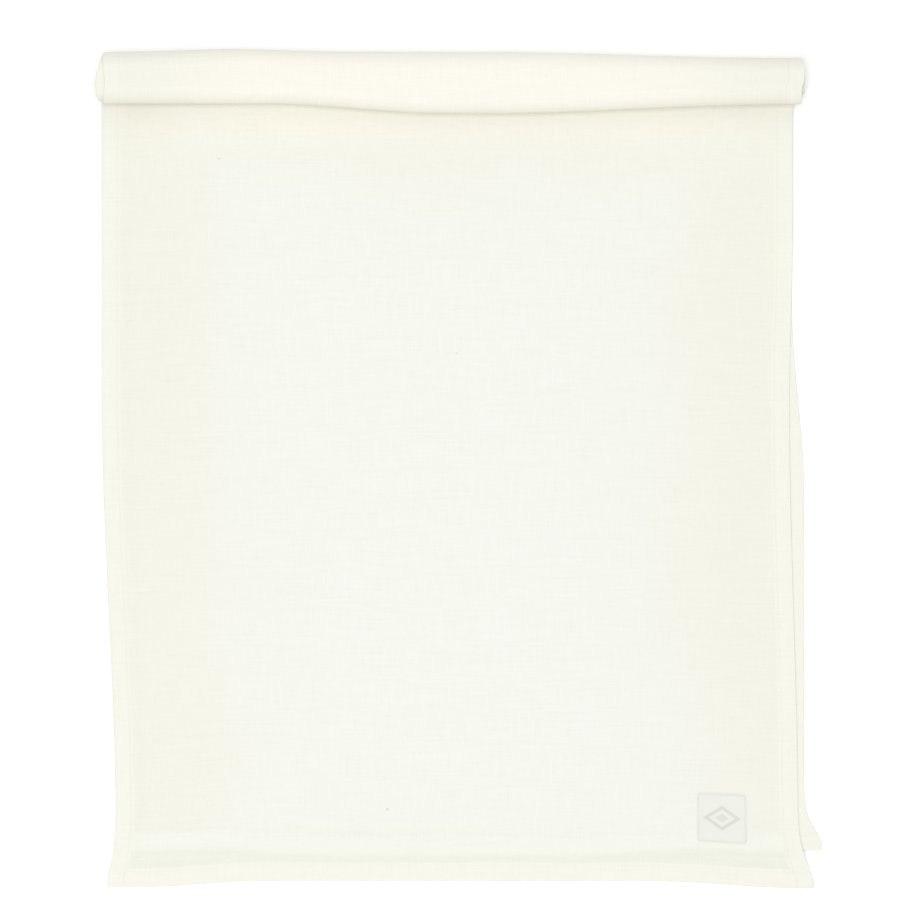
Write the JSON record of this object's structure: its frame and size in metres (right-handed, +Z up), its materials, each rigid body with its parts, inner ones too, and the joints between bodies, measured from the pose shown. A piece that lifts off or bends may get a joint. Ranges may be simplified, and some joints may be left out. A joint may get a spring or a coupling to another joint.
{
  "type": "table runner",
  "caption": "Hemmed plain linen table runner, doubled over and rolled back over its front leaf, with a small stitched square label near one free corner.",
  "frame": {"origin": "centre of the bounding box on the surface that the runner lies on", "axes": "+Z up; +Y towards the rolled edge, so the free ends are at -Y; +X towards the side where the back leaf shows and the label is"},
  "size_m": [0.468, 0.5486, 0.024],
  "materials": {
    "linen": "off-white plain-weave linen with fine slubs, matt",
    "linen_hem": "the same linen turned over twice, a little denser and lighter",
    "thread": "off-white spun sewing thread, faint sheen",
    "label_weave": "close pale grey woven label, smooth",
    "label_thread": "pale grey spun sewing thread"
  },
  "bodies": {
    "back_leaf": {"back_leaf_cloth": "linen", "back_leaf_hem_left": "linen_hem", "back_leaf_hem_right": "linen_hem", "back_leaf_hem_end": "linen_hem", "back_leaf_seam_left": "thread", "back_leaf_seam_right": "thread", "back_leaf_seam_end": "thread", "under_roll_cloth": "linen", "under_roll_hem_left": "linen_hem", "under_roll_hem_right": "linen_hem", "under_roll_seam_left": "thread", "under_roll_seam_right": "thread", "back_turn_cloth": "linen", "back_turn_hem_left": "linen_hem", "back_turn_hem_right": "linen_hem", "back_turn_seam_left": "thread", "back_turn_seam_right": "thread", "front_turn_cloth": "linen", "front_turn_hem_left": "linen_hem", "front_turn_hem_right": "linen_hem", "front_turn_seam_left": "thread", "front_turn_seam_right": "thread"},
    "front_leaf": {"front_leaf_cloth": "linen", "front_leaf_hem_left": "linen_hem", "front_leaf_hem_right": "linen_hem", "front_leaf_hem_end": "linen_hem", "front_leaf_seam_left": "thread", "front_leaf_seam_right": "thread", "front_leaf_seam_end": "thread", "label_patch": "label_weave", "label_seam": "label_thread"},
    "roll": {"roll_cloth": "linen", "roll_hem_left": "linen_hem", "roll_hem_right": "linen_hem", "roll_seam_left": "thread", "roll_seam_right": "thread"}
  },
  "joints": [
    {"name": "front_leaf_lift", "type": "hinge", "parent": "back_leaf", "child": "front_leaf", "pos_m": [0, 0.23228, 0.003], "axis": [-1, 0, 0], "range_deg": [0, 90]},
    {"name": "roll_turn", "type": "hinge", "parent": "back_leaf", "child": "roll", "pos_m": [0, 0.26228, 0.012], "axis": [-1, 0, 0], "range_deg": [0, 90], "deforming": ["back_turn_cloth", "back_turn_hem_left", "back_turn_hem_right", "back_turn_seam_left", "back_turn_seam_right", "front_turn_cloth", "front_turn_hem_left", "front_turn_hem_right", "front_turn_seam_left", "front_turn_seam_right"]}
  ]
}
